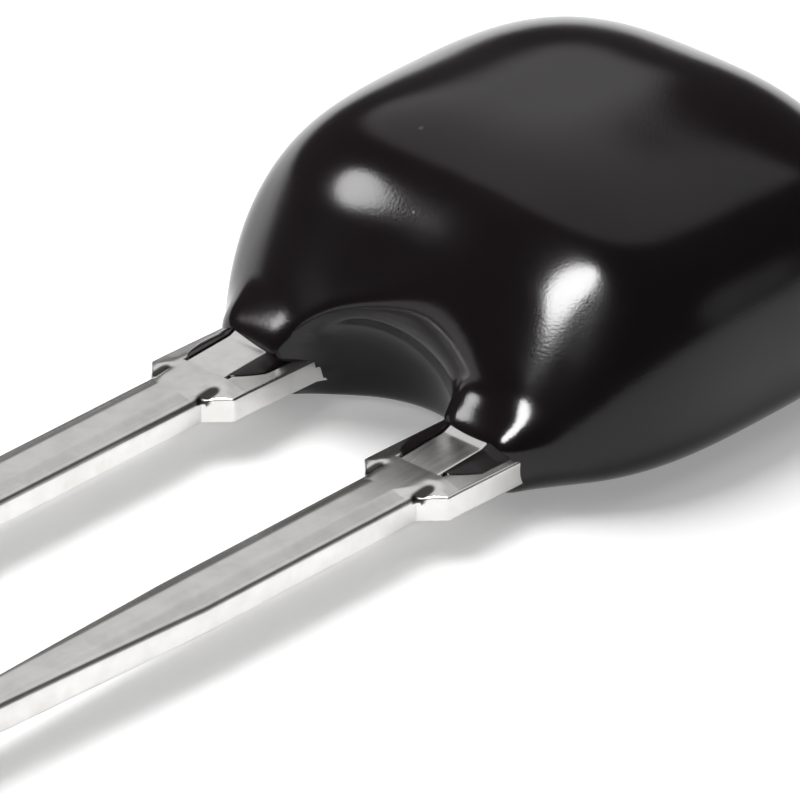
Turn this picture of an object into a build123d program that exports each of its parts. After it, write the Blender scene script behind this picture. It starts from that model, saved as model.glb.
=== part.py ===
from build123d import *
import math
import os

# Sizes are in millimetres. The part lies on its flat underside with the leads toward -Y.

# coat: a dipped pillow, its side wall widest a little above the underside
coat_half_x = 2.54
coat_front = 2.72
coat_back = 2.65
coat_height = 2.62
widest_z = 0.5
plan_power = 3.0
dome_run = 2.2
dome_power = 2.27
foot_run = 0.75
foot_power = 2.1
quarter_points = 7

# arch between the leads, where the coat drew back while it was wet
arch_radius = 0.98
arch_y = -2.83
arch_z = 0.42
arch_lip = 0.28
arch_front_y = -2.68
arch_reach = 3.4

# collars of coat that wet each lead at the front of the body
collar_half_x = 0.47
collar_half_y = 0.42
collar_half_z = 0.3
collar_x = 1.38
collar_y = -2.06
collar_round = 0.2

# leads: stamped strip with a three-finger clip at the end that holds the chip
lead_pitch = 2.54
stock = 0.27
lead_z = 0.445
pin_width = 0.6
pin_tip_width = 0.34
tip_y = -9.05
tip_point = 0.18
pin_taper_y = -6.1
step_y = -3.55
shoulder_width = 1.0
slit_y = -3.2
slit_width = 0.02
finger_outer_width = 0.245
finger_overlap = 0.06
finger_end_y = -0.75
finger_bend = 0.3
middle_lift = 0.12
middle_turn_y = -2.42
middle_top_y = -1.68
outer_drop = 0.085
outer_turn_y = -2.85
outer_low_y = -1.75
edge_round = 0.04
relief_radius = 0.05
relief_length = 0.46
relief_depth = 0.07
relief_x = 0.29
relief_y = -3.48

# coat that ran over the outer fingers, beside the middle one
web_width = 0.2
web_start_y = -3.15
web_end_y = -2.2
web_rise = 0.4
web_sunk = 0.02

# chip with a metallised cap over each end
chip_half_x = 1.8
chip_front_y = -1.5
chip_back_y = 1.62
chip_bottom_z = 0.46
chip_top_z = 1.5
chip_corner = 0.25
cap_thickness = 0.05
cap_inner_x = 0.7

# solder that fills between each clip and its cap
solder_half_x = 0.4
solder_front_y = -1.75
solder_back_y = -0.95
solder_bottom_z = 0.22
solder_top_z = 1.86
solder_round = 0.1


def plan_quarter(inset, z, turn):
    """One quarter of a level outline, a spline that meets both axes squarely."""
    signs = ((1, 1), (-1, 1), (-1, -1), (1, -1))[turn]
    half_x = coat_half_x - inset
    half_y = (coat_back if signs[1] > 0 else coat_front) - inset
    points = []
    for index in range(quarter_points):
        angle = math.pi / 2 * index / (quarter_points - 1)
        share_x = abs(math.cos(angle)) ** (2 / plan_power)
        share_y = abs(math.sin(angle)) ** (2 / plan_power)
        points.append((signs[0] * half_x * share_x, signs[1] * half_y * share_y, z))
    tangents = [Vector(0, signs[1], 0), Vector(-signs[0], 0, 0)]
    if turn % 2:
        points.reverse()
        tangents = [-tangents[1], -tangents[0]]
    return Edge.make_spline(points, tangents=tangents)


def plan_section(z, inset):
    """Level section of the plain pillow, set in from its widest outline."""
    return Face(Wire([plan_quarter(inset, z, turn) for turn in range(4)]))


def pillow():
    """Plain dipped body, lofted from its flat underside to its flat top."""
    levels = []
    for angle in (90, 72, 54, 36, 18):
        rise = math.sin(math.radians(angle)) ** (2 / foot_power)
        inset = foot_run * (1 - abs(math.cos(math.radians(angle))) ** (2 / foot_power))
        levels.append((widest_z * (1 - rise), inset))
    for angle in (0, 15, 30, 45, 60, 75, 90):
        rise = math.sin(math.radians(angle)) ** (2 / dome_power)
        inset = dome_run * (1 - abs(math.cos(math.radians(angle))) ** (2 / dome_power))
        levels.append((widest_z + (coat_height - widest_z) * rise, inset))
    return loft([plan_section(z, inset) for z, inset in levels])


def arch_tool():
    """Bell that scoops the arch and rounds its lip, turned about a front-to-back axis."""
    lip_y = arch_front_y + arch_lip
    lip_x = math.sqrt((arch_radius + arch_lip) ** 2 - (lip_y - arch_y) ** 2)
    share = arch_radius / (arch_radius + arch_lip)
    meet = (share * lip_x, arch_y + share * (lip_y - arch_y))
    lean = math.atan2(meet[1] - arch_y, meet[0])
    half = (math.pi / 2 + lean) / 2
    scoop_middle = (arch_radius * math.cos(half), arch_y + arch_radius * math.sin(half))
    back = math.atan2(meet[1] - lip_y, meet[0] - lip_x) % (2 * math.pi)
    turn = (back + 1.5 * math.pi) / 2
    lip_middle = (lip_x + arch_lip * math.cos(turn), lip_y + arch_lip * math.sin(turn))
    top = (0, arch_y + arch_radius)
    rim = (lip_x, arch_front_y)
    outline = ThreePointArc(top, scoop_middle, meet) + ThreePointArc(meet, lip_middle, rim)
    flare = (arch_reach, arch_front_y - arch_lip / 2)
    outline += Polyline(rim, flare, (arch_reach, -arch_reach - 1), (0, -arch_reach - 1), top)
    bell = revolve(make_face(outline), Axis.Y)
    return Pos(0, 0, arch_z) * bell


def collar(side):
    """Small rounded block of coat that stands round one lead."""
    block = Box(2 * collar_half_x, 2 * collar_half_y, 2 * collar_half_z)
    block = fillet(block.edges(), collar_round)
    return Pos(side * collar_x, collar_y, lead_z) * block


def coat_outer():
    """Skin of the coat with its arch and collars."""
    return pillow() - arch_tool() + collar(-1) + collar(1)


def strip(path, width):
    """Flat strip of the lead stock that follows a side-view path."""
    line = FilletPolyline(*path, radius=finger_bend)
    return Plane.YZ * extrude(trace(line, stock), amount=width / 2, both=True)


def lead_blank():
    """Pin and shoulder of one lead, flat, centred on x = 0."""
    half_pin, half_tip, half_shoulder = pin_width / 2, pin_tip_width / 2, shoulder_width / 2
    shoulder_y = step_y + half_shoulder - half_pin
    side = [
        (half_tip - tip_point / 2, tip_y),
        (half_tip, tip_y + tip_point),
        (half_pin, pin_taper_y),
        (half_pin, step_y),
        (half_shoulder, shoulder_y),
        (half_shoulder, slit_y),
    ]
    outline = side + [(-x, y) for x, y in reversed(side)]
    flat = extrude(make_face(Polyline(*outline, close=True)), amount=stock / 2, both=True)
    flat = Pos(0, 0, lead_z) * flat
    long_edges = flat.edges().filter_by(lambda e: abs(e.center().Z - lead_z - stock / 2) < 0.001)
    long_edges = long_edges.filter_by(lambda e: e.center().Y < slit_y - 0.001 and abs(e.center().X) > 0.01)
    return fillet(long_edges, edge_round)


def middle_finger():
    """Clip finger that climbs over the front edge of the chip."""
    top_z = chip_top_z + cap_thickness + stock / 2
    path = [
        (slit_y - finger_overlap, lead_z),
        (slit_y, lead_z),
        (middle_turn_y, lead_z + middle_lift),
        (middle_top_y, top_z),
        (finger_end_y, top_z),
    ]
    width = shoulder_width - 2 * finger_outer_width - 2 * slit_width
    return strip(path, width)


def outer_fingers():
    """Pair of narrow clip fingers that pass under the chip."""
    low_z = chip_bottom_z - cap_thickness - stock / 2
    path = [
        (slit_y - finger_overlap, lead_z),
        (slit_y, lead_z),
        (outer_turn_y, lead_z - outer_drop),
        (outer_low_y, low_z),
        (finger_end_y, low_z),
    ]
    finger = strip(path, finger_outer_width)
    offset = (shoulder_width - finger_outer_width) / 2
    return Pos(offset, 0, 0) * finger + Pos(-offset, 0, 0) * finger


def terminal():
    """One lead with its clip, centred on x = 0."""
    body = lead_blank() + middle_finger() + outer_fingers()
    groove = SlotOverall(relief_length, 2 * relief_radius, rotation=90)
    groove = extrude(groove, amount=relief_depth)
    for side in (-1, 1):
        body -= Pos(side * relief_x, relief_y, lead_z + stock / 2 - relief_depth) * groove
    return body


def chip_block(growth):
    """Ceramic block with rounded upright corners, grown on every side by one amount."""
    width = 2 * (chip_half_x + growth)
    length = chip_back_y - chip_front_y + 2 * growth
    height = chip_top_z - chip_bottom_z + 2 * growth
    block = extrude(RectangleRounded(width, length, chip_corner + growth), amount=height)
    return Pos(0, (chip_back_y + chip_front_y) / 2, chip_bottom_z - growth) * block


def end_cap(side):
    """Metallised skin over one end of the chip."""
    reach = chip_half_x + cap_thickness - cap_inner_x
    window = Box(reach, 4 * chip_half_x, 4 * chip_half_x)
    window = Pos(side * (cap_inner_x + reach / 2), 0, 0) * window
    return (chip_block(cap_thickness) & window) - chip_block(0.0)


def solder_joint(side, metal, cap):
    """Solder between one clip and its cap, rounded outside."""
    block = Box(2 * solder_half_x, solder_back_y - solder_front_y, solder_top_z - solder_bottom_z)
    block = fillet(block.edges(), solder_round)
    middle_y = (solder_back_y + solder_front_y) / 2
    middle_z = (solder_top_z + solder_bottom_z) / 2
    block = Pos(side * lead_pitch / 2, middle_y, middle_z) * block
    return block - chip_block(0.0) - cap - metal


def finger_web(side):
    """Coat that ran out over the outer fingers of one clip, as two wedges."""
    top_z = lead_z + stock / 2 - web_sunk
    profile = Polyline(
        (web_start_y, lead_z),
        (web_end_y, lead_z),
        (web_end_y, lead_z + web_rise),
        (middle_turn_y, top_z + middle_lift),
        (web_start_y, top_z),
        close=True,
    )
    wedge = Plane.YZ * extrude(make_face(profile), amount=web_width / 2, both=True)
    offset = shoulder_width / 2 - finger_outer_width - slit_width + web_width / 2
    both = Pos(offset, 0, 0) * wedge + Pos(-offset, 0, 0) * wedge
    return Pos(side * lead_pitch / 2, 0, 0) * both


os.makedirs("parts", exist_ok=True)

lead = terminal()
chip = chip_block(0.0)
coat = coat_outer()
for side, name in ((-1, "left"), (1, "right")):
    metal = Pos(side * lead_pitch / 2, 0, 0) * lead
    cap = end_cap(side)
    joint = solder_joint(side, metal, cap)
    coat = coat + finger_web(side) - metal - cap - joint
    export_step(metal, f"parts/terminal_{name}.step")
    export_step(cap, f"parts/end_cap_{name}.step")
    export_step(joint, f"parts/solder_{name}.step")
coat = coat - chip
export_step(chip, "parts/ptc_chip.step")
export_step(coat, "parts/coating.step")
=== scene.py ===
"""Looks of a dipped two-lead thermistor: its black coat, its stamped clip leads and the chip inside."""

import logging
import math
from dataclasses import dataclass
from enum import Enum

import bpy
import numpy as np
from mathutils import Matrix, Vector


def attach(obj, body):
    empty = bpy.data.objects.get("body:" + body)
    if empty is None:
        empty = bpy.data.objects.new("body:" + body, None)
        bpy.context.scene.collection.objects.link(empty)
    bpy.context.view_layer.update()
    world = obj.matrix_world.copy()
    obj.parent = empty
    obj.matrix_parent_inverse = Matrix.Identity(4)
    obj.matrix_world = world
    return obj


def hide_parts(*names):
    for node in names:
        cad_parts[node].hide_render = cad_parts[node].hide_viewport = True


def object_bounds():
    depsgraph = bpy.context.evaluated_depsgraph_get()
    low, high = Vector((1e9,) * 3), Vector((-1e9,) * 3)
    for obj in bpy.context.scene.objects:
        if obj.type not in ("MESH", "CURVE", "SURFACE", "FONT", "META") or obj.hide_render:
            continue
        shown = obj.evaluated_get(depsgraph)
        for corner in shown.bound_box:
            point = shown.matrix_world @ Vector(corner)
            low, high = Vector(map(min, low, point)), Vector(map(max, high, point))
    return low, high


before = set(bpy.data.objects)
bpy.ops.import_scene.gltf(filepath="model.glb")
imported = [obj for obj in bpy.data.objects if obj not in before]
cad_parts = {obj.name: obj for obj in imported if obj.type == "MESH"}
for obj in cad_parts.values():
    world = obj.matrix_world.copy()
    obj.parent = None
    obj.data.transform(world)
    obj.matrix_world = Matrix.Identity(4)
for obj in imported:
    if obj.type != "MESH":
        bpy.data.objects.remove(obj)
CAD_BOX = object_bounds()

LOG = logging.getLogger("looks")
MM = 0.001
PER_METRE = 1 / MM
Array = np.ndarray
Colour = tuple[float, float, float, float]
MeshData = tuple[Array, list[list[int]]]


class Side(Enum):
    """The two leads, by the side of the body that they leave."""

    LEFT = -1
    RIGHT = 1


# shader maths


class Value:
    """A socket of a node tree that takes part in Python expressions."""

    def __init__(self, tree: "NodeTree", socket: bpy.types.NodeSocket) -> None:
        """Keeps the tree and the socket."""
        self.tree = tree
        self.socket = socket

    def math(self, operation: str, *others: "Value | float") -> "Value":
        """Adds one Math node.

        Args:
            operation: The node's operation.
            others: The inputs after this one.

        Returns:
            The node's result.
        """
        inputs = {index: value for index, value in enumerate((self, *others))}
        return self.tree.node("ShaderNodeMath", {"operation": operation}, inputs)

    def __add__(self, other: "Value | float") -> "Value":
        """Sum."""
        return self.math("ADD", other)

    def __radd__(self, other: float) -> "Value":
        """Sum with a number first."""
        return self.math("ADD", other)

    def __sub__(self, other: "Value | float") -> "Value":
        """Difference."""
        return self.math("SUBTRACT", other)

    def __rsub__(self, other: float) -> "Value":
        """A number less this value."""
        inputs = {0: other, 1: self}
        return self.tree.node("ShaderNodeMath", {"operation": "SUBTRACT"}, inputs)

    def __mul__(self, other: "Value | float") -> "Value":
        """Product."""
        return self.math("MULTIPLY", other)

    def __rmul__(self, other: float) -> "Value":
        """Product with a number first."""
        return self.math("MULTIPLY", other)

    def ramp(self, low: float, high: float) -> "Value":
        """Smooth step from 0 at low to 1 at high.

        Args:
            low: Value that gives 0.
            high: Value that gives 1.

        Returns:
            The eased share.
        """
        settings = {"interpolation_type": "SMOOTHSTEP"}
        inputs = {"Value": self, "From Min": low, "From Max": high}
        return self.tree.node("ShaderNodeMapRange", settings, inputs)

    def between(self, low: float, high: float) -> "Value":
        """Carries 0 to 1 onto low to high."""
        return self * (high - low) + low


class NodeTree:
    """One node tree, filled through one node-making method."""

    def __init__(self, tree: bpy.types.NodeTree) -> None:
        """Empties the tree and keeps it."""
        self.tree = tree
        tree.nodes.clear()

    def node(
        self,
        kind: str,
        settings: dict[str, object] | None = None,
        inputs: dict[int | str, object] | None = None,
        output: int | str = 0,
    ) -> Value | None:
        """Adds one node, its settings first and its sockets next.

        Args:
            kind: The node's type.
            settings: The node's own properties.
            inputs: Values or links by socket name or number.
            output: The socket that is handed back.

        Returns:
            The chosen output, or nothing for a node without one.
        """
        made = self.tree.nodes.new(kind)
        for name, value in (settings or {}).items():
            setattr(made, name, value)
        for name, value in (inputs or {}).items():
            if isinstance(value, Value):
                self.tree.links.new(value.socket, made.inputs[name])
            else:
                made.inputs[name].default_value = value
        return Value(self, made.outputs[output]) if len(made.outputs) else None

    def place(self) -> Value:
        """Object coordinates, in metres."""
        return self.node("ShaderNodeTexCoord", output="Object")

    def upward(self, vector: Value) -> Value:
        """The Z component of a vector."""
        return self.node("ShaderNodeSeparateXYZ", inputs={0: vector}, output="Z")

    def dot(self, vector: Value, fixed: Vector) -> Value:
        """Dot product with a fixed vector."""
        settings, inputs = {"operation": "DOT_PRODUCT"}, {0: vector, 1: fixed}
        return self.node("ShaderNodeVectorMath", settings, inputs, output=1)

    def stretch(self, vector: Value, scale: tuple[float, float, float]) -> Value:
        """A vector scaled along each axis."""
        return self.node("ShaderNodeMapping", inputs={"Vector": vector, "Scale": scale})

    def noise(self, vector: Value, kind: "Noise") -> Value:
        """Fractal noise from 0 to 1, read at a place in metres."""
        inputs = {"Vector": vector, "Scale": kind.per_mm * PER_METRE}
        inputs |= {"Detail": kind.octaves, "Roughness": kind.weight}
        return self.node("ShaderNodeTexNoise", inputs=inputs)

    def cells(self, vector: Value, per_mm: float) -> Value:
        """Distance to the nearest of scattered points, in cells."""
        inputs = {"Vector": vector, "Scale": per_mm * PER_METRE}
        return self.node("ShaderNodeTexVoronoi", inputs=inputs)

    def blend(self, share: Value, first: "tuple | Value", second: "tuple | Value") -> Value:
        """Mixes two colours.

        Args:
            share: 0 gives the first, 1 the second.
            first: Colour, or a link to one.
            second: Colour, or a link to one.

        Returns:
            The mixed colour.
        """
        settings = {"data_type": "RGBA"}
        return self.node("ShaderNodeMix", settings, {0: share, 6: first, 7: second}, output=2)

    def bump(self, height: Value, depth_mm: float, under: Value | None = None) -> Value:
        """Normal bent by a height map.

        Args:
            height: Height from 0 to 1.
            depth_mm: Depth that a height of 1 stands for.
            under: Normal that it bends further, where there is one.

        Returns:
            The bent normal.
        """
        inputs = {"Height": height, "Distance": depth_mm * MM, "Strength": 1.0}
        if under:
            inputs["Normal"] = under
        return self.node("ShaderNodeBump", inputs=inputs)

    def gloss(self, **inputs: object) -> None:
        """Ends the tree in a Principled shader.

        Args:
            inputs: Socket names, with underscores for spaces, and what goes into them.
        """
        named = {name.replace("_", " "): value for name, value in inputs.items()}
        shader = self.node("ShaderNodeBsdfPrincipled", inputs=named)
        self.node("ShaderNodeOutputMaterial", inputs={"Surface": shader})


def new_material(name: str) -> tuple[bpy.types.Material, NodeTree]:
    """A material and its empty tree."""
    material = bpy.data.materials.new(name)
    material.use_nodes = True
    return material, NodeTree(material.node_tree)


def grey(level: float) -> Colour:
    """Neutral colour of one level."""
    return (level, level, level, 1.0)


# finishes


@dataclass(frozen=True)
class Noise:
    """A fractal noise: features per millimetre, octaves and the weight of the finer ones."""

    per_mm: float
    octaves: float = 3.0
    weight: float = 0.5


@dataclass(frozen=True)
class DippedEpoxy:
    """Cured black epoxy: glossy, faintly wavy, with fine specks. Depths are in millimetres."""

    black: Colour = (0.0062, 0.0041, 0.0048, 1.0)
    thin: Colour = (0.0115, 0.0082, 0.0088, 1.0)
    tone: Noise = Noise(0.5, 4.0, 0.6)
    speck: Colour = (0.14, 0.12, 0.12, 1.0)
    specks_per_mm: float = 1.7
    speck_rim: tuple[float, float] = (0.05, 0.03)
    patch: Noise = Noise(0.7, 1.0)
    patch_rim: tuple[float, float] = (0.5, 0.62)
    polish: tuple[float, float] = (0.11, 0.18)
    smear: Noise = Noise(1.6)
    mirror: float = 0.36
    wave: Noise = Noise(0.9, 2.0, 0.4)
    wave_depth: float = 0.006
    grain: Noise = Noise(38.0, 2.0, 0.6)
    grain_depth: float = 0.0006

    def material(self) -> bpy.types.Material:
        """Builds the material."""
        material, tree = new_material("black_epoxy")
        place = tree.place()
        ground = tree.blend(tree.noise(place, self.tone), self.black, self.thin)
        patches = tree.noise(place, self.patch).ramp(*self.patch_rim)
        specks = tree.cells(place, self.specks_per_mm).ramp(*self.speck_rim) * patches
        waves = tree.bump(tree.noise(place, self.wave), self.wave_depth)
        tree.gloss(
            Base_Color=tree.blend(specks, ground, self.speck),
            Roughness=tree.noise(place, self.smear).between(*self.polish),
            Specular_IOR_Level=self.mirror,
            Normal=tree.bump(tree.noise(place, self.grain), self.grain_depth, waves),
        )
        return material


@dataclass(frozen=True)
class TinPlate:
    """Tinned strip: bright satin metal with fine draw lines, and a near black painted shade in the dimples,
    where their shade attribute is 1.
    """

    bright: Colour = (0.82, 0.81, 0.8, 1.0)
    dull: Colour = (0.72, 0.71, 0.69, 1.0)
    mottle: Noise = Noise(3.0, 4.0, 0.6)
    mottle_rim: tuple[float, float] = (0.3, 0.75)
    # painted shade for the dimples: near black, and the ramp that lays it on
    pit_shade: Colour = (0.07, 0.065, 0.06, 1.0)
    pit_shade_rim: tuple[float, float] = (0.25, 0.7)
    draw: tuple[float, float, float] = (9.0, 0.6, 9.0)
    lines: Noise = Noise(2.0, 4.0, 0.6)
    line_depth: float = 0.0006
    satin: tuple[float, float] = (0.2, 0.3)

    def material(self) -> bpy.types.Material:
        """Builds the material."""
        material, tree = new_material("tinned_metal")
        place = tree.place()
        lines = tree.noise(tree.stretch(place, self.draw), self.lines)
        mottle = tree.noise(place, self.mottle).ramp(*self.mottle_rim)
        # the dimples' painted shade, read from a point attribute, darkens the base colour
        painted_pit_shade = tree.node("ShaderNodeAttribute", {"attribute_name": "painted_pit_shade"}, output="Fac")
        plate = tree.blend(mottle, self.bright, self.dull)
        tree.gloss(
            Base_Color=tree.blend(painted_pit_shade.ramp(*self.pit_shade_rim), plate, self.pit_shade),
            Metallic=1.0,
            Roughness=lines.between(*self.satin),
            Normal=tree.bump(lines, self.line_depth),
        )
        return material


@dataclass(frozen=True)
class GrainyFinish:
    """A finish whose one grain varies its colour, roughness and height together."""

    slot: str
    pale: Colour
    dark: Colour
    grain: Noise
    roughness: tuple[float, float]
    depth: float
    metallic: float = 1.0

    def material(self) -> bpy.types.Material:
        """Builds the material."""
        material, tree = new_material(self.slot)
        grain = tree.noise(tree.place(), self.grain)
        tree.gloss(
            Base_Color=tree.blend(grain, self.pale, self.dark),
            Metallic=self.metallic,
            Roughness=grain.between(*self.roughness),
            Normal=tree.bump(grain, self.depth),
        )
        return material


CHIP_CERAMIC = GrainyFinish(
    slot="chip_ceramic",
    pale=(0.36, 0.31, 0.25, 1.0),
    dark=(0.22, 0.19, 0.16, 1.0),
    grain=Noise(14.0, 4.0, 0.65),
    roughness=(0.6, 0.8),
    depth=0.004,
    metallic=0.0,
)
FIRED_SILVER = GrainyFinish(
    slot="silver_cap",
    pale=(0.78, 0.77, 0.74, 1.0),
    dark=(0.6, 0.58, 0.55, 1.0),
    grain=Noise(22.0, 3.0, 0.6),
    roughness=(0.37, 0.55),
    depth=0.002,
)
SOFT_SOLDER = GrainyFinish(
    slot="solder",
    pale=(0.66, 0.66, 0.65, 1.0),
    dark=(0.5, 0.5, 0.5, 1.0),
    grain=Noise(4.0, 3.0, 0.5),
    roughness=(0.25, 0.45),
    depth=0.01,
)


# meshes


def shaped(name: str, points: Array, faces: list[list[int]], finish: bpy.types.Material) -> bpy.types.Object:
    """Makes a smooth-shaded object at the origin.

    Args:
        name: The object's name.
        points: Vertices in millimetres, one per row.
        faces: Corner numbers of each face.
        finish: The object's material.

    Returns:
        The new object.
    """
    mesh = bpy.data.meshes.new(name)
    mesh.from_pydata((points * MM).tolist(), [], faces)
    mesh.shade_smooth()
    mesh.materials.append(finish)
    made = bpy.data.objects.new(name, mesh)
    bpy.context.scene.collection.objects.link(made)
    return made


def merged(parts: list[MeshData]) -> MeshData:
    """Puts the points and faces of several meshes one after the other."""
    points, faces = np.zeros((0, 3)), []
    for part_points, part_faces in parts:
        faces += [[corner + len(points) for corner in face] for face in part_faces]
        points = np.concatenate([points, part_points])
    return points, faces


def ring_quads(rows: int, columns: int) -> Array:
    """Faces of a tube: a grid whose columns close on themselves.

    Args:
        rows: Sections along the tube.
        columns: Points round each section.

    Returns:
        Corner numbers, four per face.
    """
    row = np.arange(rows - 1)[:, None] * columns
    column = np.arange(columns)[None, :]
    beyond = (column + 1) % columns
    corners = (row + column, row + beyond, row + columns + beyond, row + columns + column)
    return np.stack(corners, -1).reshape(-1, 4)


def eased(value: Array, start: float, end: float) -> Array:
    """Smooth step from 0 at start to 1 at end, either way up."""
    share = np.clip((value - start) / (end - start), 0, 1)
    return share * share * (3 - 2 * share)


# coat


@dataclass
class CoatShell:
    """The dipped body: a pillow with an arch scooped between the leads and small collars round them.

    Lengths are in millimetres. The pillow is the CAD node's, with a front face that leans back, an
    arch with a broader and less even lip, and collars that melt into it.
    """

    half_x: float = 2.54
    front: float = 2.72
    back: float = 2.65
    height: float = 2.62
    widest_z: float = 0.5
    plan_power: float = 3.0
    dome_run: float = 2.2
    dome_power: float = 2.27
    foot_run: float = 0.75
    foot_power: float = 2.1
    lean: float = 0.42
    lean_z: tuple[float, float] = (0.3, 1.8)
    lean_y: tuple[float, float] = (-0.85, -2.6)
    lean_x: tuple[float, float] = (2.7, 1.8)
    arch_radius: float = 0.96
    arch_y: float = -2.75
    arch_z: float = 0.3
    lip_mean: float = 0.52
    lip_swing: float = 0.4
    lip_x: float = 0.25
    lip_spread: float = 0.5
    foot_melt: float = 0.5
    foot_fade: float = 0.5
    least_melt: float = 0.01
    collar_middle: tuple[float, float, float] = (1.3, -2.16, 0.445)
    collar_half: tuple[float, float, float] = (0.42, 0.4, 0.31)
    collar_round: float = 0.2
    collar_melt: float = 0.3
    eye: tuple[float, float, float] = (0.0, 0.1, 1.0)
    grid: int = 100
    reach: float = 5.0
    halvings: int = 34
    newton_steps: int = 12
    newton_share: float = 0.9
    least_half: float = 0.02
    inset_limits: tuple[float, float] = (-8.0, 2.45)
    slope_floor: float = 1e-9
    slant_floor: float = 1e-12

    def plan_depth(self, x: Array, y: Array) -> Array:
        """How far the level outline through a point lies inside the widest one.

        The outline set in by i is (|x| / (half_x - i)) ^ p + (|y| / (half_y - i)) ^ p = 1, where
        half_y is the front or the back half, and Newton steps find i.

        Args:
            x: Places along X.
            y: Places along Y.

        Returns:
            The inset of each point, below 0 outside the body.
        """
        half_y = np.where(y > 0, self.back, self.front)
        x, y, power = np.abs(x), np.abs(y), self.plan_power
        reach = ((x / self.half_x) ** power + (y / half_y) ** power) ** (1 / power)
        inset = (1 - reach) * (self.half_x + half_y) / 2
        for _ in range(self.newton_steps):
            wide = np.maximum(self.half_x - inset, self.least_half)
            long = np.maximum(half_y - inset, self.least_half)
            share_x, share_y = (x / wide) ** power, (y / long) ** power
            slope = power * (share_x / wide + share_y / long) + self.slope_floor
            step = self.newton_share * (share_x + share_y - 1) / slope
            inset = np.clip(inset - step, *self.inset_limits)
        return inset

    def pillow(self, x: Array, y: Array, z: Array) -> Array:
        """Signed distance to the plain pillow, close to true near its skin.

        The side profile is a superellipse of inset against height, above and below the widest level.

        Args:
            x: Places along X.
            y: Places along Y.
            z: Places along Z.

        Returns:
            The distance, above 0 outside.
        """
        front = eased(y, *self.lean_y) * eased(np.abs(x), *self.lean_x)
        lean = self.lean * front * eased(z, *self.lean_z)
        inset = self.plan_depth(x, y - lean)
        dome = self.height - self.widest_z
        rise = np.clip((z - self.widest_z) / dome, 0, 1)
        drop = np.clip((self.widest_z - z) / self.widest_z, 0, 1)
        above = self.dome_run * (1 - (1 - rise**self.dome_power) ** (1 / self.dome_power))
        below = self.foot_run * (1 - (1 - drop**self.foot_power) ** (1 / self.foot_power))
        level = np.where(z > self.widest_z, above, below) - inset
        share = 1 - np.clip(inset, 0, self.dome_run) / self.dome_run
        top = self.widest_z + dome * (1 - share**self.dome_power) ** (1 / self.dome_power)
        upright = z - top
        slant = np.abs(level * upright) / np.sqrt(level**2 + upright**2 + self.slant_floor)
        domed = np.where(inset >= self.dome_run, upright, np.sign(upright) * slant)
        return np.where((z > self.widest_z) & (inset > 0), domed, level)

    @staticmethod
    def join(first: Array, second: Array, width: "float | Array") -> Array:
        """Smooth union: the smaller distance, less a rounded share where the two are close."""
        close = np.maximum(width - np.abs(first - second), 0) / width
        return np.minimum(first, second) - close * close * width / 4

    def collar(self, x: Array, y: Array, z: Array) -> Array:
        """Signed distance to the rounded collars, mirrored about x = 0."""
        place = np.stack([np.abs(x), y, z], -1) - np.array(self.collar_middle)
        beyond = np.abs(place) - np.array(self.collar_half) + self.collar_round
        outside = np.linalg.norm(np.maximum(beyond, 0), axis=-1)
        return outside + np.minimum(beyond.max(-1), 0) - self.collar_round

    def distance(self, points: Array) -> Array:
        """Signed distance to the coat: pillow less the arch's sphere, with collars, above the floor.

        The lip is broad on the right of the arch and narrow on its left. The lower edge is rounded
        most inside the arch.
        """
        x, y, z = points[..., 0], points[..., 1], points[..., 2]
        outside = np.sqrt(x**2 + (y - self.arch_y) ** 2 + (z - self.arch_z) ** 2) - self.arch_radius
        lip = self.lip_mean + self.lip_swing * np.tanh((x - self.lip_x) / self.lip_spread)
        scooped = -self.join(-self.pillow(x, y, z), outside, lip)
        body = self.join(scooped, self.collar(x, y, z), self.collar_melt)
        melt = self.foot_melt * np.clip(1 - outside / self.foot_fade, self.least_melt, 1)
        return -self.join(-body, z, melt)

    def directions(self) -> tuple[Array, Array]:
        """Directions through a gridded cube that is blown up to a sphere.

        Returns:
            Unit directions, and the faces that join them, four corners each.
        """
        steps = np.tan(np.linspace(-1, 1, self.grid + 1) * math.pi / 4)
        first, second = np.meshgrid(steps, steps, indexing="ij")
        one = np.ones_like(first)
        sheets = []
        for sign in (-1.0, 1.0):
            for turn in range(3):
                sheet = np.stack([sign * one, first, sign * second], -1)
                sheets.append(np.roll(sheet, turn, axis=-1))
        stacked = np.stack(sheets).reshape(-1, 3)
        keys = np.round(stacked, 6)
        _, kept, number = np.unique(keys, axis=0, return_index=True, return_inverse=True)
        number = number.reshape(6, self.grid + 1, self.grid + 1)
        corners = (number[:, :-1, :-1], number[:, 1:, :-1], number[:, 1:, 1:], number[:, :-1, 1:])
        faces = np.stack(corners, -1).reshape(-1, 4)
        chosen = stacked[kept]
        return chosen / np.linalg.norm(chosen, axis=1, keepdims=True), faces

    def build(self, finish: bpy.types.Material) -> bpy.types.Object:
        """Casts every direction from the body's middle and halves its way to the skin.

        Args:
            finish: The coat's material.

        Returns:
            The coat, in place of the CAD node.
        """
        rays, faces = self.directions()
        middle = np.array(self.eye)
        low, high = np.zeros(len(rays)), np.full(len(rays), self.reach)
        for _ in range(self.halvings):
            trial = (low + high) / 2
            inside = self.distance(middle + trial[:, None] * rays) < 0
            low, high = np.where(inside, trial, low), np.where(inside, high, trial)
        points = middle + low[:, None] * rays
        piece = shaped("coat_skin", points, faces.tolist(), finish)
        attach(piece, "root")
        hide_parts("coating")
        return piece


# leads

CREASE = math.radians(40)


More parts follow.
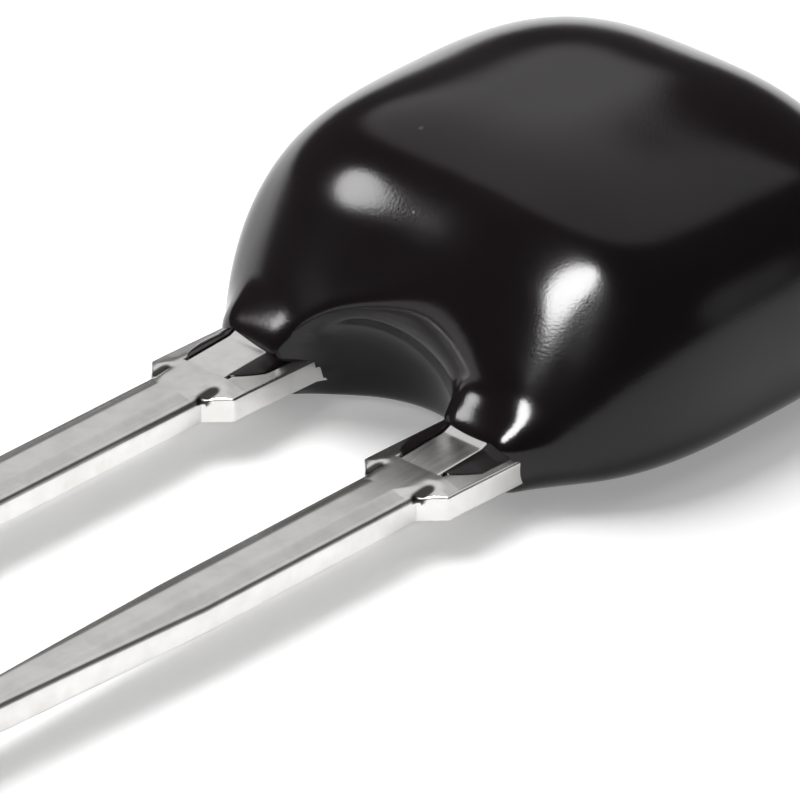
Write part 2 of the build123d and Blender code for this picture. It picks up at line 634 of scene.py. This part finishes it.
@dataclass
class ClipLead:
    """One stamped lead: a crowned pin and shoulder, and the three clip fingers that enter the coat.

    Lengths are in millimetres, with x from the lead's own middle. The paths climb and pass_under are
    pairs of y and rise. film_reach and film_drop are for the left and the right lead.
    """

    side: Side
    pitch: float = 2.54
    stock: float = 0.27
    middle_z: float = 0.445
    tip_y: float = -9.05
    point_length: float = 0.18
    taper_y: float = -6.1
    step_y: float = -3.55
    shoulder_y: float = -3.35
    slit_y: float = -3.2
    slit_width: float = 0.02
    finger_y: float = -0.75
    half_point: float = 0.08
    half_tip: float = 0.17
    half_pin: float = 0.3
    half_shoulder: float = 0.5
    half_middle: float = 0.235
    crown_tilt: float = math.radians(16)
    crown_bend: float = 0.05
    crown_lift: float = 0.02
    pin_flat: float = 0.1
    shoulder_flat: float = 0.27
    pin_round: float = 0.085
    shoulder_round: float = 0.03
    base_round: float = 0.02
    change_before: float = 0.1
    change_run: float = 0.3
    pit_x: float = 0.3
    pit_y: float = -3.47
    pit_half_x: float = 0.06
    pit_half_y: float = 0.14
    pit_depth: float = 0.03
    # height above the middle from which the dimples get painted shade
    pit_shade_above: float = 0.05
    climb: tuple = (
        (-3.2, 0.0),
        (-2.65, 0.03),
        (-2.35, 0.15),
        (-2.2, 0.28),
        (-1.62, 1.14),
        (-1.5, 1.24),
        (0.0, 1.24),
    )
    pass_under: tuple = ((-3.2, 0.0), (-2.3, -0.02), (-1.75, -0.17), (0.0, -0.17))
    # the film: a thin black sheet over the outer fingers, partly coat that ran out and partly painted shade
    film_y: float = -3.15
    film_end_y: float = -2.0
    film_gap: float = 0.004
    film_over: float = 0.008
    film_thick: float = 0.06
    film_grow: float = 0.3
    film_ease: float = 0.6
    film_droop: int = 8
    film_reach: tuple[float, float] = (0.42, 0.43)
    film_drop: tuple[float, float] = (0.03, 0.0)
    pin_ends: tuple[float, float] = (-8.75, -4.0)
    neck_start_y: float = -3.97
    finger_gap: float = 0.004
    pin_stations: int = 60
    neck_stations: int = 80
    finger_stations: int = 120
    film_stations: int = 60
    film_columns: int = 25
    top_columns: int = 61
    corner_columns: int = 9
    wall_columns: int = 5
    base_columns: int = 13

    def half_width(self, y: Array) -> Array:
        """Half width along the strip: blunt point, taper, pin, 45 degree step and shoulder."""
        stops = [self.tip_y, self.tip_y + self.point_length, self.taper_y, self.step_y, self.shoulder_y]
        halves = [self.half_point, self.half_tip, self.half_pin, self.half_pin, self.half_shoulder]
        return np.interp(y, stops, halves)

    def fall(self, x: Array, flat: "float | Array") -> Array:
        """Fall of the crowned top: tan(tilt) * bend * log(cosh(u / bend)), with u beyond the flat."""
        beyond = np.maximum(np.abs(x) - flat, 0) / self.crown_bend
        return math.tan(self.crown_tilt) * self.crown_bend * np.log(np.cosh(beyond))

    def section(self, low: Array, high: Array, flat: Array, edge: Array) -> Array:
        """Closed outline of a slice of the strip, for every station at once.

        The top falls away on both sides of its flat middle. Round edges lead into upright sides and a
        flat base.

        Args:
            low: Lowest x at each station, as a column.
            high: Highest x at each station, as a column.
            flat: Half width of the flat middle, as a column.
            edge: Edge radius, as a column.

        Returns:
            x and z of the outline's points, stations by points by 2.
        """
        share = (1 + np.sin(np.linspace(-math.pi / 2, math.pi / 2, self.top_columns))[None, :]) / 2
        top_x = low + edge + (high - low - 2 * edge) * share
        top_z = self.stock / 2 + self.crown_lift - self.fall(top_x, flat)
        turn = np.linspace(0, math.pi / 2, self.corner_columns)[None, 1:]
        under = self.base_round
        wall = np.linspace(0, 1, self.wall_columns)[None, 1:]
        floor_z = -self.stock / 2
        sides = []
        for end, sign, rim in ((high, 1, top_z[:, -1:]), (low, -1, top_z[:, :1])):
            corner_x = end - sign * edge * (1 - np.sin(turn))
            corner_z = rim - edge * (1 - np.cos(turn))
            wall_z = corner_z[:, -1:] * (1 - wall) + (floor_z + under) * wall
            under_x = end - sign * under * (1 - np.cos(turn))
            under_z = floor_z + under * (1 - np.sin(turn)) + 0 * end
            side_x = np.concatenate([corner_x, end + 0 * wall, under_x], 1)
            side_z = np.concatenate([corner_z, wall_z, under_z], 1)
            sides.append(np.stack([side_x, side_z], -1))
        base = np.linspace(1, 0, self.base_columns)[None, 1:-1]
        base_x = low + under + (high - low - 2 * under) * base
        top = np.stack([top_x, top_z], -1)
        bottom = np.stack([base_x, floor_z + 0 * base_x], -1)
        return np.concatenate([top, sides[0], bottom, sides[1][:, ::-1]], 1)

    def pit(self, x: Array, y: Array) -> Array:
        """The eye-shaped dimples by the slits' roots, whose tops also get painted shade: exp(-u^2 - v^4),
        with u across and v along.
        """
        across = (np.abs(x) - self.pit_x) / self.pit_half_x
        along = (y - self.pit_y) / self.pit_half_y
        return np.exp(-(across**2) - along**4)

    def blade(self) -> MeshData:
        """Pin, shoulder and middle finger as one tube, closed at both ends.

        Returns:
            Points and faces.
        """
        point = self.tip_y + self.point_length * np.array([0, 1 / 6, 1 / 2, 1])
        pin = np.linspace(*self.pin_ends, self.pin_stations)
        neck = np.linspace(self.neck_start_y, self.slit_y, self.neck_stations)
        finger = np.linspace(self.slit_y + self.finger_gap, self.finger_y, self.finger_stations)
        y = np.concatenate([point, pin, neck, finger])[:, None]
        half = np.where(y > self.slit_y, self.half_middle, self.half_width(y))
        near = self.near_shoulder(y)
        edge = self.pin_round * (1 - near) + self.shoulder_round * near
        flat = self.pin_flat * (1 - near) + self.shoulder_flat * near
        outline = self.section(-half, half, flat, np.minimum(edge, half / 2))
        x, z = outline[..., 0], outline[..., 1]
        z = z - np.where(z > 0, self.pit_depth * self.pit(x, y), 0)
        rise = np.interp(y, *np.array(self.climb).T)
        return self.capped(np.stack([x, y + 0 * x, z + rise + self.middle_z], -1))

    def near_shoulder(self, y: Array) -> Array:
        """0 along the pin and 1 on the shoulder, with a short run between them."""
        return np.clip((y - self.step_y + self.change_before) / self.change_run, 0, 1)

    @staticmethod
    def capped(grid: Array) -> MeshData:
        """Closes both ends of a tube with a fan round each end's middle.

        Args:
            grid: Sections by points by 3.

        Returns:
            Points, and faces of four corners along the tube and three in the fans.
        """
        rows, columns = grid.shape[:2]
        faces = ring_quads(rows, columns)
        start, end = grid[0].mean(0), grid[-1].mean(0)
        points = np.concatenate([grid.reshape(-1, 3), [start, end]])
        around = np.arange(columns)
        beyond = (around + 1) % columns
        first = np.stack([beyond, around, np.full(columns, rows * columns)], -1)
        base = (rows - 1) * columns
        last = np.stack([base + around, base + beyond, np.full(columns, rows * columns + 1)], -1)
        return points, [*faces.tolist(), *first.tolist(), *last.tolist()]

    def finger(self, low: float, high: float) -> MeshData:
        """One outer clip finger: a slice of the strip that passes under the chip.

        Args:
            low: Lowest x.
            high: Highest x.

        Returns:
            Points and faces.
        """
        y = np.linspace(self.slit_y, self.finger_y, self.finger_stations)[:, None]
        rise = np.interp(y, *np.array(self.pass_under).T)
        ends = (np.full_like(y, low), np.full_like(y, high))
        flat, edge = np.full_like(y, self.shoulder_flat), np.full_like(y, self.shoulder_round)
        outline = self.section(*ends, flat, edge)
        x, z = outline[..., 0], outline[..., 1]
        return self.capped(np.stack([x, y + 0 * x, z + rise + self.middle_z], -1))

    def outer_fingers(self) -> list[MeshData]:
        """The pair of narrow fingers beside the slits."""
        inner, outer = self.half_middle + self.slit_width, self.half_shoulder
        return [self.finger(inner, outer), self.finger(-outer, -inner)]

    def film_and_shade(self, finish: bpy.types.Material) -> bpy.types.Object:
        """Thin black sheet over the outer fingers, as two tapering tongues: coat that ran out over them, and
        a painted shade that darkens them.

        Args:
            finish: The coat's material.

        Returns:
            The tongues, which ride with the coat.
        """
        which = list(Side).index(self.side)
        reach, drop = self.film_reach[which], self.film_drop[which]
        y = np.linspace(self.film_y, self.film_end_y, self.film_stations)[:, None]
        grown = np.clip((y - self.film_y) / self.film_grow, 0, 1) ** self.film_ease
        across = np.linspace(0, 1, self.film_columns)[None, :]
        x = self.half_middle + self.film_gap + (reach - self.half_middle) * grown * across
        rise = np.interp(y, *np.array(self.climb).T) * (1 - across)
        surface = self.middle_z + self.stock / 2 + self.crown_lift + self.film_over
        z = surface - self.fall(x, self.shoulder_flat) + rise - drop * grown * across**self.film_droop
        tongues = []
        for sign in (1, -1):
            over = np.stack([sign * x, y + 0 * x, z], -1)
            under = np.stack([sign * x, y + 0 * x, z - self.film_thick], -1)
            ring = np.concatenate([over, under[:, ::-1]], 1)
            tongues.append(self.capped(ring[:, ::sign]))
        points, faces = merged(tongues)
        points[:, 0] += self.side.value * self.pitch / 2
        piece = self.piece(f"film_{self.side.name.lower()}", (points, faces), finish)
        return piece

    @staticmethod
    def piece(name: str, mesh: MeshData, finish: bpy.types.Material) -> bpy.types.Object:
        """A smooth piece with sharp creases kept, which rides with the body."""
        piece = shaped(name, *mesh, finish)
        piece.data.set_sharp_from_angle(angle=CREASE)
        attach(piece, "root")
        return piece

    def build(self, finish: bpy.types.Material) -> bpy.types.Object:
        """Makes the lead in place of its CAD node.

        Args:
            finish: The lead's material.

        Returns:
            The lead.
        """
        points, faces = merged([self.blade(), *self.outer_fingers()])
        # painted shade: the dimples' share on the top faces, kept as a point attribute that darkens the
        # metal
        painted_pit_shade = self.pit(points[:, 0], points[:, 1]) * (points[:, 2] > self.middle_z + self.pit_shade_above)
        points[:, 0] += self.side.value * self.pitch / 2
        name = self.side.name.lower()
        piece = self.piece(f"lead_{name}", (points, faces), finish)
        marks = piece.data.attributes.new("painted_pit_shade", "FLOAT", "POINT")
        marks.data.foreach_set("value", painted_pit_shade)
        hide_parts(f"terminal_{name}")
        return piece


# chip


@dataclass
class ChipStack:
    """The ceramic chip, its metallised ends and the solder, which keep their CAD shapes."""

    ceramic: GrainyFinish = CHIP_CERAMIC
    silver: GrainyFinish = FIRED_SILVER
    solder: GrainyFinish = SOFT_SOLDER

    def dress(self) -> list[str]:
        """Gives every inner CAD node its material.

        Returns:
            The nodes' names.
        """
        silver, solder = self.silver.material(), self.solder.material()
        finishes = {"ptc_chip": self.ceramic.material()}
        for side in Side:
            finishes[f"end_cap_{side.name.lower()}"] = silver
            finishes[f"solder_{side.name.lower()}"] = solder
        for name, material in finishes.items():
            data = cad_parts[name].data
            data.materials.clear()
            data.materials.append(material)
        return list(finishes)


# studio


def toward(azimuth: float, elevation: float) -> Vector:
    """Unit vector by azimuth, counted from +X towards +Y, and elevation, in degrees."""
    turn, lift = math.radians(azimuth), math.radians(elevation)
    return Vector((math.cos(turn) * math.cos(lift), math.sin(turn) * math.cos(lift), math.sin(lift)))


class Lights(Enum):
    """What a lamp lights: dull surfaces, or mirror reflections."""

    DULL = 0
    MIRROR = 1


@dataclass(frozen=True)
class SoftBox:
    """One oval lamp, whose long axis runs between two directions seen from the object."""

    name: str
    start: tuple[float, float]
    end: tuple[float, float]
    across: float
    radiance: float
    lights: Lights
    distance: float = 90.0

    def place(self, target: Vector) -> None:
        """Adds the lamp, turned to the target.

        Args:
            target: The point that it faces, in metres.
        """
        first, last = toward(*self.start), toward(*self.end)
        away = (first + last).normalized()
        long_axis = (last - first).normalized()
        reach = self.distance * MM
        data = bpy.data.lights.new(self.name, "AREA")
        data.shape = "ELLIPSE"
        data.size = (last - first).length * reach
        data.size_y = 2 * math.tan(math.radians(self.across / 2)) * reach
        data.energy = self.radiance * math.pi * math.pi / 4 * data.size * data.size_y
        lamp = bpy.data.objects.new(self.name, data)
        bpy.context.scene.collection.objects.link(lamp)
        turn = Matrix((long_axis, away.cross(long_axis), away)).transposed()
        lamp.matrix_world = Matrix.Translation(target + away * reach) @ turn.to_4x4()
        lamp.visible_camera = False
        lamp.visible_diffuse = self.lights is Lights.DULL
        lamp.visible_glossy = self.lights is Lights.MIRROR


@dataclass(frozen=True)
class SkyDisc:
    """A round patch of the surroundings, by its middle direction and its radius in degrees."""

    middle: tuple[float, float]
    radius: float
    edge: float = 3.0

    def mask(self, tree: NodeTree, place: Value) -> Value:
        """1 inside the patch and 0 outside, with a soft edge."""
        near = math.cos(math.radians(self.radius + self.edge))
        far = math.cos(math.radians(self.radius - self.edge))
        return tree.dot(place, toward(*self.middle)).ramp(near, far)


@dataclass
class Studio:
    """Camera, pale floor, lamps and surroundings, in millimetres and degrees.

    The horizon and sky_low are heights of a unit direction, from -1 to 1.
    """

    target: tuple[float, float, float] = (0.0, -1.5, 0.8)
    camera_place: tuple[float, float, float] = (58.32, -64.76, 47.76)
    right: tuple[float, float, float] = (0.7322, 0.6811, 0.0)
    ahead: tuple[float, float, float] = (-0.5958, 0.6404, -0.4847)
    lens: float = 506.6
    sensor: float = 36.0
    clip: tuple[float, float] = (5.0, 5000.0)
    floor_radius: float = 300.0
    floor_sides: int = 96
    floor_paint: float = 0.8
    floor_glow: float = 0.29
    horizon: tuple[float, float] = (0.035, -0.005)
    dim: float = 0.06
    lamps: tuple[SoftBox, ...] = (
        SoftBox("overhead", (180.0, 46.0), (180.0, 80.0), 46.0, 8.7, Lights.DULL, 100.0),
        SoftBox("left_box", (-138.0, 21.0), (-153.0, 33.0), 15.0, 14.0, Lights.MIRROR),
        SoftBox("front_box", (-81.0, 26.0), (-23.0, 57.0), 17.0, 36.0, Lights.MIRROR),
    )
    sky_wide: SkyDisc = SkyDisc((118.0, 55.0), 44.0)
    sky_hole: SkyDisc = SkyDisc((100.0, 22.0), 24.0)
    sky_faint: SkyDisc = SkyDisc((39.0, 8.0), 5.0)
    sky_light: float = 0.74
    sky_low: float = math.sin(math.radians(21.0))
    sky_low_edge: float = 0.06
    faint_light: float = 0.5

    def camera(self) -> None:
        """Sets the camera where the photograph was taken from."""
        data = bpy.data.cameras.new("camera")
        data.lens, data.sensor_width = self.lens, self.sensor
        data.clip_start, data.clip_end = self.clip[0] * MM, self.clip[1] * MM
        made = bpy.data.objects.new("camera", data)
        bpy.context.scene.collection.objects.link(made)
        right, ahead = Vector(self.right).normalized(), Vector(self.ahead).normalized()
        up = right.cross(ahead)
        turn = Matrix((right, up, -ahead)).transposed()
        made.matrix_world = Matrix.Translation(Vector(self.camera_place) * MM) @ turn.to_4x4()
        bpy.context.scene.camera = made

    def floor(self) -> None:
        """Lays a round pale floor, whose glow lifts it to white for camera and mirror rays."""
        material, tree = new_material("floor_paint")
        kinds = ("Is Camera Ray", "Is Glossy Ray", "Is Transmission Ray")
        seen, glossy, through = (tree.node("ShaderNodeLightPath", output=kind) for kind in kinds)
        tree.gloss(
            Base_Color=grey(self.floor_paint),
            Roughness=1.0,
            Specular_IOR_Level=0.0,
            Emission_Color=grey(1.0),
            Emission_Strength=(seen + glossy + through) * self.floor_glow,
        )
        turn = np.linspace(0, 2 * math.pi, self.floor_sides + 1)[:-1]
        rim = np.stack([np.cos(turn), np.sin(turn), 0 * turn], -1) * self.floor_radius
        rim[:, 2] = CAD_BOX[0].z / MM
        shaped("floor", rim, [list(range(self.floor_sides))], material)

    def surroundings(self) -> None:
        """White below the horizon and dim above it, with a bright patch that the dome's top mirrors."""
        world = bpy.data.worlds.new("studio")
        world.use_nodes = True
        tree = NodeTree(world.node_tree)
        place = tree.node("ShaderNodeTexCoord", output="Generated")
        height = tree.upward(place)
        patch = self.sky_wide.mask(tree, place) * (1 - self.sky_hole.mask(tree, place))
        patch = patch * height.ramp(self.sky_low - self.sky_low_edge, self.sky_low + self.sky_low_edge)
        level = height.ramp(*self.horizon) * (1 - self.dim) + self.dim
        level = level + patch * (self.sky_light - self.dim)
        level = level + self.sky_faint.mask(tree, place) * self.faint_light
        colour = tree.node("ShaderNodeCombineXYZ", inputs={0: level, 1: level, 2: level})
        light = tree.node("ShaderNodeBackground", inputs={"Color": colour, "Strength": 1.0})
        tree.node("ShaderNodeOutputWorld", inputs={"Surface": light})
        bpy.context.scene.world = world

    def build(self) -> None:
        """Sets up everything round the object."""
        bpy.context.scene.view_settings.view_transform = "Standard"
        self.camera()
        self.floor()
        self.surroundings()
        for lamp in self.lamps:
            lamp.place(Vector(self.target) * MM)


def main() -> None:
    """Builds the looks in order."""
    logging.basicConfig(level=logging.INFO, format="%(message)s")
    Studio().build()
    epoxy, tin = DippedEpoxy().material(), TinPlate().material()
    pieces = [CoatShell().build(epoxy)]
    for lead in (ClipLead(side) for side in Side):
        # each lead, and its black sheet of coat and painted shade over the outer fingers
        pieces += [lead.build(tin), lead.film_and_shade(epoxy)]
    for piece in pieces:
        LOG.info("piece %s: %d faces", piece.name, len(piece.data.polygons))
    LOG.info("dressed: %s", ", ".join(ChipStack().dress()))


if __name__ == "__main__":
    main()
